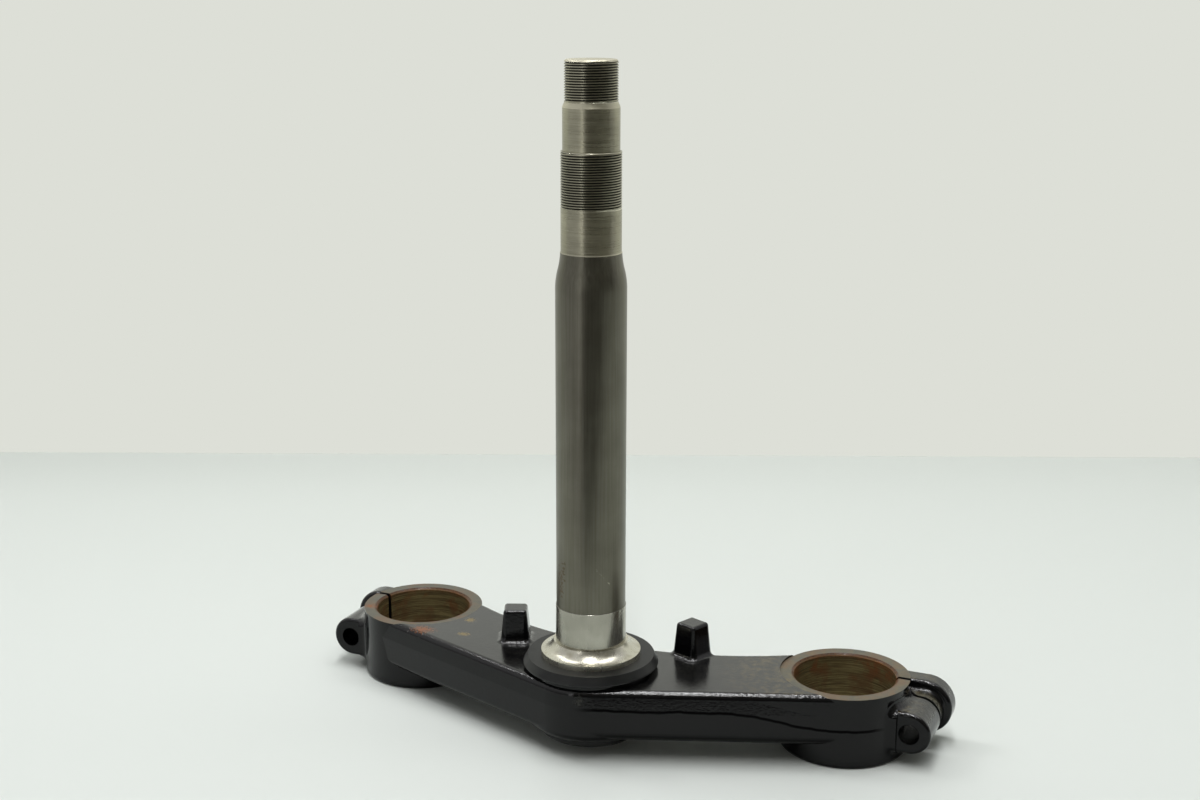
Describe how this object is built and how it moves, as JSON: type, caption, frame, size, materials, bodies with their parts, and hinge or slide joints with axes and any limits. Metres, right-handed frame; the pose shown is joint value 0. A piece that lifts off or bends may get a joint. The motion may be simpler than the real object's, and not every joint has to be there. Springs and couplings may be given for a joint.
{
  "type": "motorcycle lower triple clamp",
  "caption": "Forged lower fork yoke with split fork clamps, pinch ears and steering stops, fitted with a stepped steering stem, bearing race and dust seal.",
  "frame": {"origin": "on the ground plane that the two fork clamps stand on, below the middle of the whole part's box", "axes": "+Z along the steering axis towards the top nut, +Y from the steering axis towards the fork bores, +X along the line through both fork bores"},
  "size_m": [0.299, 0.096, 0.2956],
  "materials": {
    "yoke_paint": "gloss black paint over a steel forging, worn at the machined faces",
    "stem_steel": "drawn and turned bare steel with light rust",
    "race_steel": "ground and polished bearing steel",
    "seal_rubber": "satin black"
  },
  "bodies": {
    "root": {"lower_yoke": "yoke_paint", "steering_stem": "stem_steel", "bearing_race": "race_steel", "dust_seal": "seal_rubber"}
  },
  "joints": []
}
